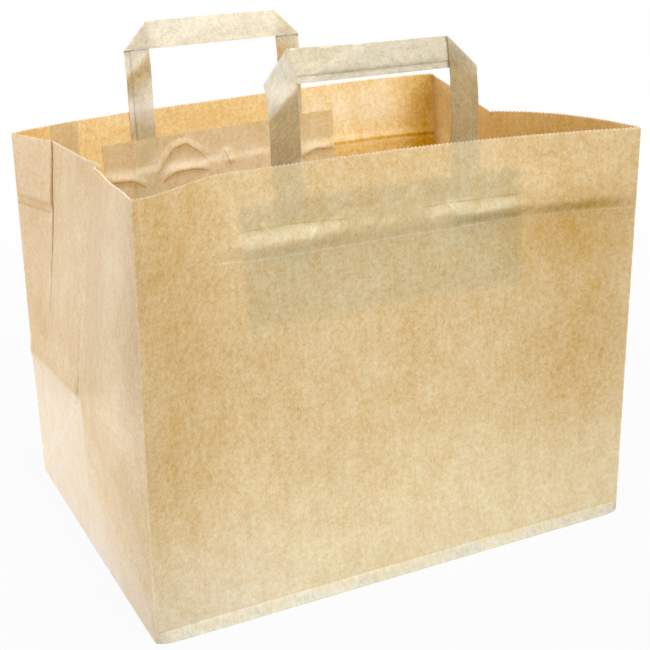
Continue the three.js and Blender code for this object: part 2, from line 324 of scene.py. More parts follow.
def second_crease(u, v):
    """The valley at the handle patch."""
    second = smooth(v, 207.5, UPPER_CREASE) * (1 - smooth(v, UPPER_CREASE, 234))
    return along(SECOND_DEPTH, u) * second


def crumple(u, v):
    """Crushed paper between the two creases, over the handle patch."""
    upwards = smooth(v, 200, 206) * (1 - smooth(v, 222, 232))
    across = smooth(u, 62, 72) * (1 - smooth(u, 240, 255))
    coarse = np.abs(waves(u, 1.6 * v, 22, 9))
    fine = np.abs(waves(u, 1.4 * v, 12, 21))
    return upwards * across * (0.5 * coarse + 0.35 * fine)


def base_fold(u, v):
    """The ridge across the back half of the left gusset, where the bottom was folded up."""
    back_half = (u >= LEFT_START) & (u <= LEFT_MIDDLE)
    height = 104 + 8 * (u - LEFT_START) / HALF_DEPTH
    return BASE_RIDGE * np.maximum(0, 1 - np.abs(v - height) / BASE_RIDGE_WIDTH) * back_half


def pleat_groove(u, v):
    """The sharp line of the small fold beside the back left corner."""
    groove = np.maximum(0, 1 - np.abs(u - pleat_place(v)) / PLEAT_GROOVE_WIDTH)
    return PLEAT_GROOVE * groove * smooth(v, 135, 190)


def relief(u, v):
    """How far the paper stands out of its smooth panel shape, in millimetres."""
    beside = np.min([np.abs(u - fold) for fold in FOLD_PLACES], axis=0)
    off_fold = smooth(beside, 0, 4)
    calm = smooth(beside, 0, 12) * smooth(v, 0, 14)
    out = (0.5 * waves(u, v, 90, 3) + 0.16 * waves(u, v, 28, 5)) * calm
    out = out + ring_crease(u, v) * off_fold
    out = out - second_crease(u, v)
    out = out + crumple(u, v)
    for line in FRONT_WRINKLES:
        out = out + WRINKLE_RIDGE * stroke(u, v, line, WRINKLE_WIDTH)
    out = out - pleat_groove(u, v)
    out = out + base_fold(u, v) * off_fold
    out = out + BACK_RIDGE * stroke(u, v, BACK_DIAGONAL, BACK_RIDGE_WIDTH)
    return out + FRONT_RIDGE * stroke(u, v, FRONT_DIAGONAL, FRONT_RIDGE_WIDTH)


CREASES_FROM = 192
CREASES_TO = 224
NARROW_COLUMN = 0.6
NARROWEST_TOOTH = 1
SHARP_ANGLE = 60


def rows():
    """Heights of the tube's rows: close together at the foot and at the creases."""
    heights = [0, 0.7, 1.6, 3.2, 5.0, FOOT_HEIGHT, 6.2]
    heights += list(np.linspace(FOOT_HEIGHT, BASE_FOLD, 36)[1:])
    heights += list(np.linspace(BASE_FOLD, CREASES_FROM, 27)[1:])
    heights += list(np.linspace(CREASES_FROM, CREASES_TO, 25)[1:])
    heights += list(np.linspace(CREASES_TO, BAG_HEIGHT - TOOTH_DEPTH, 11)[1:])
    return np.array(heights)


def columns(count, width):
    """Shares across a panel: even, with a narrow column beside each fold."""
    narrow = NARROW_COLUMN / width
    return np.concatenate([[0, narrow], np.linspace(0, 1, count + 1)[1:-1], [1 - narrow]])


def tube_grid(heights):
    """Points and flat-sheet places of the whole tube, one panel after another."""
    points, sheet = [], []
    for name, panel in PANELS.items():
        width = float(panel[4](BAG_HEIGHT) - panel[3](BAG_HEIGHT))
        share, height = np.meshgrid(columns(panel[5], width), heights)
        points.append(panel_point(name, share, height))
        sheet.append(sheet_place(name, share, height))
    return np.concatenate(points, axis=1), np.concatenate(sheet, axis=1)


def grid_normals(grid):
    """Unit normals of the tube's grid, which closes on itself across."""
    du = np.roll(grid, -1, 1) - np.roll(grid, 1, 1)
    dv = np.gradient(grid, axis=0)
    normal = np.cross(du, dv)
    return normal / np.maximum(np.linalg.norm(normal, axis=-1, keepdims=True), 1e-9)


def to_frame(points):
    """Millimetres on the bag's own axes to metres in the frame."""
    return (np.asarray(points) - np.array([BAG_MIDDLE[0], BAG_MIDDLE[1], 0])) * MM


def make_piece(name, vertices, faces, sheet, material, node):
    """A mesh object with its flat-sheet coordinates as UVs, riding on the bag."""
    mesh = bpy.data.meshes.new(name)
    mesh.from_pydata([tuple(p) for p in to_frame(vertices)], [], faces)
    layer = mesh.uv_layers.new(name="sheet")
    corners = np.zeros(len(mesh.loops), dtype=np.int32)
    mesh.loops.foreach_get("vertex_index", corners)
    flat = np.asarray(sheet)[corners]
    # A face that closes the tube has corners at both ends of the sheet, so its low ones go on past the end
    sizes = [len(f) for f in faces]
    ends = np.maximum.reduceat(flat[:, 0], np.cumsum([0] + sizes[:-1]))
    flat[:, 0] += SHEET_ROUND * (np.repeat(ends, sizes) - flat[:, 0] > SHEET_ROUND / 2)
    layer.data.foreach_set("uv", (flat * MM).astype(np.float32).ravel())
    mesh.polygons.foreach_set("use_smooth", np.ones(len(mesh.polygons), dtype=bool))
    mesh.set_sharp_from_angle(angle=math.radians(SHARP_ANGLE))
    mesh.materials.append(material)
    mesh.validate()
    mesh.update()
    piece = bpy.data.objects.new(name, mesh)
    bpy.context.scene.collection.objects.link(piece)
    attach(piece, "root")
    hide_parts(node)
    return piece


def shell_faces(rows_count, cols, wrap):
    """Quads of a grid of points, closed across where wrap is true."""
    quads = []
    last = cols if wrap else cols - 1
    for i in range(rows_count - 1):
        for j in range(last):
            k = (j + 1) % cols
            quads.append((i * cols + j, i * cols + k, (i + 1) * cols + k, (i + 1) * cols + j))
    return quads


def bag_tube(material):
    """The four walls as one sheet with an outer and an inner face and a toothed rim."""
    heights = rows()
    grid, u = tube_grid(heights)
    v = np.repeat(heights[:, None], u.shape[1], axis=1)
    outer = grid + grid_normals(grid) * relief(u, v)[..., None]
    inner = outer - grid_normals(outer) * PAPER
    for side in (outer, inner):
        side[..., 2] = np.maximum(side[..., 2], 0)
    n_rows, n_cols = u.shape
    total = n_rows * n_cols
    rise = np.array([0, 0, TOOTH_DEPTH])
    peaks = [(side[-1] + np.roll(side[-1], -1, 0)) / 2 + rise for side in (outer, inner)]
    vertices = np.concatenate([outer.reshape(-1, 3), inner.reshape(-1, 3), *peaks])
    gaps = np.diff(np.append(u[-1], SHEET_ROUND))
    flat = np.stack([u, v], -1).reshape(-1, 2)
    tips = np.stack([u[-1] + gaps / 2, np.full(n_cols, BAG_HEIGHT)], -1)
    sheet = np.concatenate([flat, flat, tips, tips])
    faces = shell_faces(n_rows, n_cols, True)
    faces += [tuple(total + i for i in reversed(f)) for f in faces]
    top = total - n_cols
    for j in range(n_cols):
        k = (j + 1) % n_cols
        a, b = top + j, top + k
        c, d = total + a, total + b
        p, q = 2 * total + j, 2 * total + n_cols + j
        if gaps[j] > NARROWEST_TOOTH:
            faces += [(a, b, p), (d, c, q), (a, p, q, c), (p, b, d, q)]
        else:
            faces.append((a, b, d, c))
        faces.append((k, j, total + j, total + k))
    return make_piece("bag_tube", vertices, faces, sheet, material, "bag_body")


# The two handles: which way is inwards, the rim's height, how far the handle is shifted along the bag,
# tilts back by its top, leans aside and rises, how its patch slants and how far its left ear is bent
FRONT = {
    "panel": "front", "inwards": 1, "rim": BAG_HEIGHT, "shift": 3.0,
    "tilt": 6.0, "lean": 0.01, "rise": 60.0, "patch_tilt": 0.0, "ear": 0.4,
}
BACK = {
    "panel": "back", "inwards": -1, "rim": BAG_HEIGHT - RIM_DROOP / 2, "shift": -11.0,
    "tilt": 8.0, "lean": 0.025, "rise": 57.0, "patch_tilt": 0.026, "ear": 0.0,
}
LEAN_CURVE = 2.2
RIM_CLEAR = (1.5, 6.0)


def panel_depth(name, x, z):
    """Depth of a panel's outer face at a given x and z, with its relief."""
    start, end = PANELS[name][:2]
    x, z = np.broadcast_arrays(np.asarray(x, float), np.asarray(z, float))
    height = z.copy()
    for _ in range(6):
        a, b = start(height), end(height)
        share = (x - a[..., 0]) / (b[..., 0] - a[..., 0])
        height = height + z - panel_point(name, share, height)[..., 2]
    outward = -1 if name == "front" else 1
    stands_out = relief(sheet_place(name, share, height), height)
    return panel_point(name, share, height)[..., 1] + outward * stands_out


def inner_face(side, x, z):
    """Depth of the inner face that a handle lies on; above the rim, of the plane that it stands in."""
    rim, inwards = side["rim"], side["inwards"]
    x, z = np.broadcast_arrays(np.asarray(x, float), np.asarray(z, float))
    below = panel_depth(side["panel"], x, np.minimum(z, rim))
    legs = np.array([-1, 1]) * LEG_SPACING / 2 + side["shift"]
    depths = panel_depth(side["panel"], legs, np.full(2, rim))
    plane = depths[0] + (depths[1] - depths[0]) * (x - legs[0]) / (legs[1] - legs[0])
    rise = np.maximum(z - rim, 0) / side["rise"]
    above = plane + side["tilt"] * rise ** LEAN_CURVE
    clear = inwards * np.maximum(inwards * above, inwards * below)
    near_rim = 1 - smooth(z, rim + RIM_CLEAR[0], rim + RIM_CLEAR[1])
    above = above + (clear - above) * near_rim
    return np.where(z <= rim, below, above) + inwards * PAPER


# The tape: where its seam runs across it and how high that stands, the air between leg and bar, how
# round the ear's bend is, and the stops along it with their length on the flat tape
SEAM = 0.215
SEAM_STEP = 0.2
FOLD_GAP = 1.0
EAR_ROUND = 4.0
LEG_STOPS = 43
BAR_STOPS = 40
STOP_LENGTH = 2.4
FREE_LENGTH = 20
ACROSS = np.array([0, 0.07, 0.14, SEAM - 0.008, SEAM + 0.008, 0.34, 0.5, 0.66, 0.82, 0.93, 1.0])


def ear_bend(x, z):
    """How far a handle's left corner is bent back, beyond a slanting line across the leg."""
    past = (z - 279.5 - 0.486 * (x + 61.5)) / 1.112
    curve = np.maximum(past, 0) ** 2 / (2 * EAR_ROUND)
    return np.where(past < EAR_ROUND, curve, past - EAR_ROUND / 2)


def streaks(x, z):
    """Slanting ripples that hands have pressed into the tape."""
    broad = 0.22 * np.sin((x + 0.6 * z) / 2.7) * np.sin((x - 0.2 * z) / 11)
    return broad + 0.1 * np.sin((x + 0.45 * z) / 1.7)


def tape_shell(sections):
    """A closed tape from cross sections, each with its two faces and its stop along the flat tape."""
    count = len(ACROSS)
    ring = 2 * count
    across = ACROSS * TAPE_WIDTH
    vertices, sheet = [], []
    for face_b, face_a, stop in sections:
        vertices += [face_b, face_a[::-1]]
        length = np.full(count, STOP_LENGTH * stop)
        sheet.append(np.stack([across, length], -1))
        sheet.append(np.stack([2 * TAPE_WIDTH + 1 - across[::-1], length], -1))
    faces = shell_faces(len(sections), ring, True)
    faces.append(tuple(reversed(range(ring))))
    faces.append(tuple((len(sections) - 1) * ring + j for j in range(ring)))
    return np.concatenate(vertices), faces, np.concatenate(sheet)


def handle(name, side, material):
    """A tape turned at 45 degrees into two legs and a bar that lies on their inner side."""
    rim = side["rim"]
    top = rim + side["rise"]
    shoulder = top - TAPE_WIDTH
    slant = shoulder + (top - shoulder) * ACROSS
    outer_reach = (LEG_SPACING + TAPE_WIDTH) / 2
    inner_reach = (LEG_SPACING - TAPE_WIDTH) / 2
    between = outer_reach + (inner_reach - outer_reach) * ACROSS
    turn = TAPE_THICKNESS * math.sqrt(2)
    step = SEAM_STEP * (ACROSS > SEAM)
    leg_front = GLUE_GAP + TAPE_THICKNESS
    bar_back = leg_front + FOLD_GAP + SEAM_STEP
    last_stop = 2 * LEG_STOPS + BAR_STOPS + 2

    def place(across, z, layer):
        x = side["shift"] + across + side["lean"] * np.maximum(0, z - rim)
        free = smooth(z, rim, rim + FREE_LENGTH)
        uneven = free * (0.5 * waves(x, z, 40, 11) + streaks(x, z))
        out = layer + side["ear"] * ear_bend(x, z) + uneven
        return np.stack([x, inner_face(side, x, z) + side["inwards"] * out, z], -1)

    def leg(end):
        low = rim - LEG_TAIL
        found = []
        for share in np.linspace(0, 1, 2 * LEG_STOPS + 1):
            z = low + (slant - low) * share
            drop = turn * share ** 12
            stop = LEG_STOPS * share
            if end > 0:
                stop = last_stop - stop
            face_b = place(end * between, z, GLUE_GAP)
            face_a = place(end * between, z - drop, leg_front + step)
            found.append((face_b, face_a, stop))
        return found

    def bar():
        found = []
        for i in range(BAR_STOPS + 1):
            share = 2 * i / BAR_STOPS - 1
            tuck = turn * share * abs(share) ** 11
            face_b = place(share * between, slant, bar_back + TAPE_THICKNESS)
            face_a = place(share * between - tuck, slant, bar_back - step)
            found.append((face_b, face_a, LEG_STOPS + 1 + i))
        return found

    vertices, faces, sheet = tape_shell(leg(-1) + bar() + leg(1)[::-1])
    if side["inwards"] < 0:
        faces = [tuple(reversed(f)) for f in faces]
    return make_piece(name + "_tape", vertices, faces, sheet, material, name)


def sheet_shell(facing, back, peaks, sheet):
    """A thin sheet from two grids of points, with a toothed top edge where peaks are given."""
    n_rows, n_cols = facing.shape[:2]
    total = n_rows * n_cols
    vertices = [facing.reshape(-1, 3), back.reshape(-1, 3)]
    flat = [sheet.reshape(-1, 2), sheet.reshape(-1, 2)]
    faces = shell_faces(n_rows, n_cols, False)
    faces += [tuple(total + i for i in reversed(f)) for f in faces]
    top = (n_rows - 1) * n_cols
    for i in range(n_rows - 1):
        for j, flip in ((0, True), (n_cols - 1, False)):
            a, b = i * n_cols + j, (i + 1) * n_cols + j
            quad = (a, total + a, total + b, b)
            faces.append(tuple(reversed(quad)) if flip else quad)
    for j in range(n_cols - 1):
        faces.append((j + 1, j, total + j, total + j + 1))
        a, b = top + j, top + j + 1
        if peaks is None:
            faces.append((a, b, total + b, total + a))
        else:
            p, q = 2 * total + j, 2 * total + n_cols - 1 + j
            faces += [(a, b, p), (total + b, total + a, q), (a, p, q, total + a), (p, b, total + b, q)]
    if peaks is not None:
        vertices += list(peaks)
        tops = (sheet[-1, 1:] + sheet[-1, :-1]) / 2 + np.array([0, TOOTH_DEPTH])
        flat += [tops, tops]
    return np.concatenate(vertices), faces, np.concatenate(flat)


PATCH_ROWS = 67
PATCH_RIDGE = 1.1
PATCH_RIDGE_WIDTH = 4
LAP_GAP = 0.15


def patch_lift(side, x):
    """How far the patch stands off the panel: by its glue, and over a leg by the tape too."""
    legs = [side["shift"] + end * LEG_SPACING / 2 for end in (-1, 1)]
    beside = np.minimum(np.abs(x - legs[0]), np.abs(x - legs[1]))
    cover = 1 - smooth(beside, TAPE_WIDTH / 2 + 0.4, TAPE_WIDTH / 2 + 4)
    return GLUE_GAP + cover * (TAPE_THICKNESS + SEAM_STEP + GLUE_GAP)


def patch(name, side, material, wrinkle):
    """A strip over the ends of a handle's legs, with a toothed top edge."""
    top = side["rim"] - PATCH_DROP
    shares = np.linspace(0, 1, round(PATCH_WIDTH / TOOTH_PITCH) + 1)
    levels = np.linspace(top - PATCH_HEIGHT, top - TOOTH_DEPTH, PATCH_ROWS)
    middle = side["shift"] + PATCH_SHIFT

    def place(share, level, layer):
        x = middle + side["inwards"] * PATCH_WIDTH * (0.5 - share)
        z = level + side["patch_tilt"] * (x - middle)
        out = patch_lift(side, x) + wrinkle(x - middle, level - top) + layer
        return np.stack([x, inner_face(side, x, z) + side["inwards"] * out, z], -1)

    share, level = np.meshgrid(shares, levels)
    middles = (shares[1:] + shares[:-1]) / 2
    peaks = [place(middles, np.full(len(middles), top), layer) for layer in (PAPER, 0)]
    sheet = np.stack([share * PATCH_WIDTH, level], -1)
    vertices, faces, flat = sheet_shell(place(share, level, PAPER), place(share, level, 0), peaks, sheet)
    return make_piece(name + "_paper", vertices, faces, flat, material, name)


def smooth_patch(x, z):
    """The front patch is flat."""
    return 0 * x


# Wrinkles of the back patch, from the middle of its top edge
BACK_WRINKLES = [
    [(-50, -24), (-45, -18), (-36, -9), (-27, -7.5), (-17, -15), (-13, -20)],
    [(-86, -25), (-68, -26.5), (-60, -32)],
    [(-47, -31), (-38, -25.5), (-22, -25.5), (-12, -28)],
    [(1, -16), (5, -27)],
    [(60, -30), (72, -26), (87, -27.5)],
]


def creased_patch(x, z):
    """How far the wrinkles of the back patch stand out."""
    lift = 0 * x
    for line in BACK_WRINKLES:
        lift = np.maximum(lift, PATCH_RIDGE * stroke(x, z, line, PATCH_RIDGE_WIDTH))
    return lift


def side_seam(material):
    """The lap where the sheet's two ends are glued into a tube, on the inside of the back panel."""
    heights = rows()[2:]
    shares = (np.linspace(SEAM_END, SEAM_START, 9) - BACK_START) / BAG_WIDTH
    share, height = np.meshgrid(shares, heights)

    def place(share, height, layer):
        point = panel_point("back", share, height)
        point[..., 1] += relief(sheet_place("back", share, height), height) - PAPER - layer
        return point

    middles = (shares[1:] + shares[:-1]) / 2
    tops = np.full(len(middles), BAG_HEIGHT - TOOTH_DEPTH)
    rise = np.array([0, 0, TOOTH_DEPTH])
    peaks = [place(middles, tops, layer) + rise for layer in (LAP_GAP + PAPER, LAP_GAP)]
    sheet = np.stack([sheet_place("back", share, height), height], -1)
    facing, back = place(share, height, LAP_GAP + PAPER), place(share, height, LAP_GAP)
    vertices, faces, flat = sheet_shell(facing, back, peaks, sheet)
    return make_piece("side_seam", vertices, faces, flat, material, "bag_body")


# Air between the base flaps, and from their edges to the walls
FLAP_GAP = 0.1
END_GAP = 0.15
EDGE_GAP = 0.25
EDGE_STEP = 0.27


def base_flap(name, material, layer, shares):
    """A flap of the folded bottom, from a grid of shares across and along the foot."""
    across, along_depth = shares
    tent = (1 - np.abs(2 * along_depth - 1)) * across
    crease_out = right_crease(0.0)[0] - (front_right(0.0)[0] + back_right(0.0)[0]) / 2
    inset = np.array([PAPER + END_GAP, PAPER + EDGE_GAP + EDGE_STEP * layer, 0])
    height = layer * (PAPER + FLAP_GAP)
    front_edge = panel_point("front", across, height + PAPER)
    back_edge = panel_point("back", 1 - across, 0)
    points = front_edge + (back_edge - front_edge) * along_depth[..., None]
    middle = points.reshape(-1, 3).mean(axis=0)
    points[..., 0] += crease_out * tent
    points = points - inset * np.sign(points - middle)
    points[..., 2] = height
    sheet = np.stack([across * BAG_WIDTH, along_depth * BAG_DEPTH - BAG_DEPTH], -1)
    lifted = points + np.array([0, 0, PAPER])
    vertices, faces, flat = sheet_shell(lifted, points, None, sheet)
    return make_piece(name, vertices, faces, flat, material, "bag_body")


def base(material):
    """The flat bottom: two end triangles inside, and the front and back flaps glued over them."""
    slope = BAG_DEPTH / BAG_WIDTH
    across, depth = np.meshgrid(np.linspace(0, 1, 81), np.linspace(0, 0.55, 31))
    narrowed = slope * depth + (1 - 2 * slope * depth) * across
    base_flap("base_front_flap", material, 1, (narrowed, depth))
    base_flap("base_back_flap", material, 0, (narrowed[::-1], 1 - depth[::-1]))
    across, depth = np.meshgrid(np.linspace(0, 1, 31), np.linspace(0, 1, 61))
    reach = slope * np.minimum(depth, 1 - depth) + 0.04
    base_flap("base_left_end", material, 2, (reach * across, depth))
    base_flap("base_right_end", material, 2, (1 - reach * (1 - across), depth))


class Nodes:
    """Small helper to wire shader nodes."""

    def __init__(self, tree):
        self.tree = tree
        tree.nodes.clear()

    def add(self, kind, inputs=None, **settings):
        node = self.tree.nodes.new(kind)
        for key, value in settings.items():
            setattr(node, key, value)
        for key, value in (inputs or {}).items():
            if isinstance(value, bpy.types.NodeSocket):
                self.tree.links.new(value, node.inputs[key])
            else:
                node.inputs[key].default_value = value
        return node

    def math(self, operation, a, b=0.0, c=0.0):
        return self.add("ShaderNodeMath", {0: a, 1: b, 2: c}, operation=operation).outputs[0]

    def vector(self, operation, inputs):
        return self.add("ShaderNodeVectorMath", inputs, operation=operation)

    def ramp(self, value, low, high, start=0.0, end=1.0, kind="LINEAR"):
        """The way of a value from low to high, as a number from start to end."""
        inputs = {"Value": value, "From Min": low, "From Max": high, "To Min": start, "To Max": end}
        return self.add("ShaderNodeMapRange", inputs, interpolation_type=kind).outputs["Result"]

    def mixed(self, share, a, b):
        """A colour between a and b."""
        inputs = {"Factor": share, "A": a, "B": b}
        return self.add("ShaderNodeMix", inputs, data_type="VECTOR").outputs[1]

    def noise(self, place, scale, detail, stretch=1.0):
        """Fractal noise about zero, drawn out along the second axis by stretch."""
        spread = self.add("ShaderNodeMapping", {"Vector": place, "Scale": (1.0, 1 / stretch, 1.0)})
        inputs = {"Vector": spread.outputs[0], "Scale": scale, "Detail": detail}
        value = self.add("ShaderNodeTexNoise", inputs).outputs["Fac"]
        return self.math("SUBTRACT", value, 0.5)

    def line(self, place, a, b, width):
        """1 on the line from a to b, falling to 0 at width from it."""
        a, b = (Vector((p[0] * MM, p[1] * MM, 0)) for p in (a, b))
        run = b - a
        away = self.vector("SUBTRACT", {0: place, 1: a}).outputs[0]
        share = self.vector("DOT_PRODUCT", {0: away, 1: run / run.length_squared}).outputs["Value"]
        share = self.add("ShaderNodeClamp", {"Value": share}).outputs[0]
        foot = self.vector("SCALE", {0: run, "Scale": share}).outputs[0]
        gap = self.vector("DISTANCE", {0: away, 1: foot}).outputs["Value"]
        return self.ramp(gap, 0.0, width * MM, 1.0, 0.0, "SMOOTHSTEP")

    def lines(self, place, routes, width):
        value = 0.0
        for route in routes:
            for a, b in zip(route[:-1], route[1:]):
                value = self.math("MAXIMUM", self.line(place, a, b, width), value)
        return value


# The papers: colour by reflection, colour of light let through, share let through, and how far a
# fibre's tone changes red, green and blue
PAPER_MOTTLE = (0.4, 0.95, 2.5)
TAPE_MOTTLE = (1.15, 1.35, 1.9)
KRAFT = ((0.801, 0.732, 0.422), (0.89, 0.625, 0.302), 0.4, PAPER_MOTTLE)
PATCH_KRAFT = ((0.7, 0.64, 0.385), (0.9, 0.77, 0.51), 0.4, PAPER_MOTTLE)
TAPE = ((0.61, 0.53, 0.35), (0.93, 0.92, 0.89), 0.36, TAPE_MOTTLE)
# Colour that painted light mixes the paper towards
PAINTED_LIGHT_COLOUR = (0.93, 0.9, 0.86)
# Colour of the tape's darker bands, painted shade on the front legs
DARK_BAND_COLOUR = (0.76, 0.62, 0.38)
# Layers of noise in all papers: scale, detail, how far it is drawn out up the sheet, and strength
GRAIN = ((320.0, 3.0, 1.2, 0.45), (420.0, 2.0, 12.0, 0.13), (90.0, 3.0, 1.5, 0.3), (16.0, 2.0, 1.5, 0.2))
# The fibres show this much more or less against the light than by reflection
MARKED_THROUGH = 1.3
PLAIN_THROUGH = 0.6
FOLD_EDGE = 0.0015
DARK_BAND_END = 12.0


def fibre_tone(nodes, sheet, grain):
    """Lighter and darker fibres, about zero: grain, clouds, drawn-out streaks and dark flecks."""
    tone = nodes.math("MULTIPLY", grain, 0.5)
    for scale, detail, stretch, strength in GRAIN:
        layer = nodes.noise(sheet, scale, detail, stretch)
        tone = nodes.math("MULTIPLY_ADD", layer, strength, tone)
    fleck = nodes.ramp(nodes.noise(sheet, 520.0, 1.0, 2.2), 0.24, 0.3)
    return nodes.math("MULTIPLY_ADD", fleck, -0.25, tone)


def painted_shade_lines(nodes, sheet, dark):
    """Painted shade as grey lines and bands, uneven along their length, as an amount below zero."""
    amount = 0.0
    uneven = nodes.ramp(nodes.noise(sheet, 90.0, 2.0), -0.12, 0.12, 0.5, 1.0)
    for routes, width, depth in dark:
        line = nodes.math("MULTIPLY", nodes.lines(sheet, routes, width), uneven)
        amount = nodes.math("MULTIPLY_ADD", line, -depth, amount)
    return amount


def painted_light_share(nodes, sheet, pale, below):
    """Share of painted light: along pale lines, and below a fold from near it down to the foot."""
    lit_share = 0.0
    for routes, width, amount in pale:
        line = nodes.math("MULTIPLY", nodes.lines(sheet, routes, width), amount)
        lit_share = nodes.math("MAXIMUM", lit_share, line)
    for (u1, v1), (u2, v2), near, low in below:
        x, y, _ = nodes.add("ShaderNodeSeparateXYZ", {0: sheet}).outputs
        slope = (v2 - v1) / (u2 - u1)
        fold = nodes.math("MULTIPLY_ADD", x, slope, (v1 - slope * u1) * MM)
        depth = nodes.math("SUBTRACT", fold, y)
        edge = nodes.ramp(depth, 0.0, FOLD_EDGE)
        amount = nodes.math("MULTIPLY", edge, nodes.ramp(depth, 0.0, v1 * MM, near, low))
        after_start = nodes.math("GREATER_THAN", x, u1 * MM)
        before_end = nodes.math("LESS_THAN", x, u2 * MM)
        inside = nodes.math("MULTIPLY", after_start, before_end)
        lit_share = nodes.math("MAXIMUM", lit_share, nodes.math("MULTIPLY", amount, inside))
    return lit_share


def dark_band_share(nodes, sheet, dark_bands):
    """How far the tape is darkened, in bands along it with an uneven edge: painted shade on the front
    handle's legs.
    """
    _, y, _ = nodes.add("ShaderNodeSeparateXYZ", {0: sheet}).outputs
    edge = nodes.noise(sheet, 60.0, 3.0)
    banded = 0.0
    for start, reach, end in dark_bands:
        depth = nodes.math("SUBTRACT", start * MM, y)
        depth = nodes.math("MULTIPLY_ADD", edge, 0.01, depth)
        depth = nodes.math("MULTIPLY", depth, math.copysign(1, reach))
        full = nodes.ramp(depth, 0.0, abs(reach) * MM, kind="SMOOTHSTEP")
        over = nodes.ramp(depth, end * MM, (end + DARK_BAND_END) * MM, 1.0, 0.0)
        banded = nodes.math("MAXIMUM", banded, nodes.math("MULTIPLY", full, over))
    specks = nodes.math("MULTIPLY_ADD", nodes.noise(sheet, 700.0, 3.0, 1.1), 1.3, 0.92)
    return nodes.math("MULTIPLY", banded, specks)


def paper_material(name, paper, marks=(), dark=(), pale=(), below=(), dark_bands=()):
    """Paper that lets light through, with its fibres, marks, painted shade lines, painted light and darker
    bands.
    """
    reflect, transmit, through, mottle = paper
    material = bpy.data.materials.new(name)
    material.use_nodes = True
    nodes = Nodes(material.node_tree)
    output = nodes.add("ShaderNodeOutputMaterial")
    sheet = nodes.add("ShaderNodeUVMap", uv_map="sheet").outputs["UV"]
    grain = nodes.noise(sheet, 1000.0, 2.0, 1.6)
    tone = fibre_tone(nodes, sheet, grain)
    for routes, width, amount in marks:
        tone = nodes.math("MULTIPLY_ADD", nodes.lines(sheet, routes, width), amount, tone)
    # Painted light, which also calms the fibres' tone where it lies
    lit_share = painted_light_share(nodes, sheet, pale, below)
    tone = nodes.math("MULTIPLY", tone, nodes.math("MULTIPLY_ADD", lit_share, -0.6, 1.0))
    level = nodes.math("ADD", painted_shade_lines(nodes, sheet, dark), 1.0)
    if dark_bands:
        band_tint = nodes.mixed(dark_band_share(nodes, sheet, dark_bands), (1, 1, 1), DARK_BAND_COLOUR)

    def shade(colour, strength):
        """The colour with painted light, darker bands, painted shade lines and its fibres' tone: brown
        fibres take away blue most and red least.
        """
        if pale:
            colour = nodes.mixed(lit_share, colour, PAINTED_LIGHT_COLOUR)
        if dark_bands:
            colour = nodes.vector("MULTIPLY", {0: colour, 1: band_tint}).outputs["Vector"]
        inputs = {0: tone, 1: Vector(mottle) * strength, 2: level}
        amounts = nodes.vector("MULTIPLY_ADD", inputs).outputs[0]
        return nodes.vector("MULTIPLY", {0: colour, 1: amounts}).outputs["Vector"]

    bump = nodes.add("ShaderNodeBump", {"Height": grain, "Strength": 0.3, "Distance": 0.0002})
    surface = nodes.add("ShaderNodeBsdfPrincipled", {
        "Base Color": shade(reflect, 1.0),
        "Roughness": 0.38,
        "Specular IOR Level": 0.8,
        "Sheen Weight": 0.45,
        "Sheen Roughness": 0.4,
        "Normal": bump.outputs["Normal"],
    })
    strength = MARKED_THROUGH if marks else PLAIN_THROUGH
    glow = nodes.add("ShaderNodeBsdfTranslucent", {"Color": shade(transmit, strength)})
    mix = nodes.add("ShaderNodeMixShader", {0: through, 1: surface.outputs[0], 2: glow.outputs[0]})
    nodes.tree.links.new(mix.outputs[0], output.inputs["Surface"])
    return material


# Lines on the flat sheet of the bag, in millimetres along it and up it
FRONT_RING = [(50, 203), (77, 200.3), (195, 200), (245, 202), (296, 201.7), (320, 201)]
GUSSET_FOLD = [(LEFT_START, 104), (LEFT_MIDDLE, 112)]
CORNER_FOLDS = [[(u, 0), (u, BAG_HEIGHT)] for u in (0, RIGHT_START, LEFT_MIDDLE, SHEET_ROUND)]
PLEAT_RING = [(LEFT_START, 208), (LEFT_START + 38, 208.5)]
# Lighter lines along folds and creases: wear of the fibres, with painted highlight
WEAR_AND_HIGHLIGHT = [FRONT_RING, GUSSET_FOLD, BACK_DIAGONAL, FRONT_DIAGONAL, *CORNER_FOLDS, *FRONT_WRINKLES, PLEAT_RING]
# The lines from here on carry painted light and painted shade, named by where they lie
RIM = [(0, BAG_HEIGHT + 0.4), (SHEET_ROUND, BAG_HEIGHT + 0.4)]
FOOT_STRIP = [(0, 2.2), (RIGHT_START, 2.2)]
FOOT_EDGE = [(0, 0), (RIGHT_START, 0)]
FOOT_FOLD = [(0, 6), (RIGHT_START, 6)]
FOOT_CORNER = [(0, 0), (40, 0)]
FRONT_SIDES = [[(12, 235), (22, 95)], [(285, 215), (280, 90)]]
UNDER_RING = [(240, 188), (300, 190)]
RING_SHADE = [(205, 204.5), (308, 205.5)]
SECOND_CREASE = [
    [(69, 217), (90, 217.5), (116, 216.5), (133, 215)],
    [(182, 215), (200, 215.5), (243, 216)],
]
RIGHT_INSIDE = [(RIGHT_START + 50, 235), (RIGHT_MIDDLE + 10, 235)]
BACK_CORNER = [(BACK_START + 3, 252), (BACK_START + 8, 185)]
BACK_CREASE = [(BACK_START, 206), (BACK_START + 100, 206)]
UNDER_CREASE = [(BACK_START, 199), (BACK_START + 90, 199)]
BACK_PAINTED_LIGHT = [(BACK_START + 40, 233), (BACK_START + 95, 230)]
FAR_CORNER = [(LEFT_START - 14, 252), (LEFT_START - 16, 200)]
BACK_HALF = [(LEFT_START + 18, 245), (LEFT_START + 30, 130)]
PLEAT_LINE = [(float(pleat_place(height)), height) for height in (250, 145)]
PLEAT_CREASE = [(LEFT_START, 205), (LEFT_START + 38, 205.5)]
GUSSET_RIDGE = [(LEFT_MIDDLE, 20), (LEFT_MIDDLE, 235)]
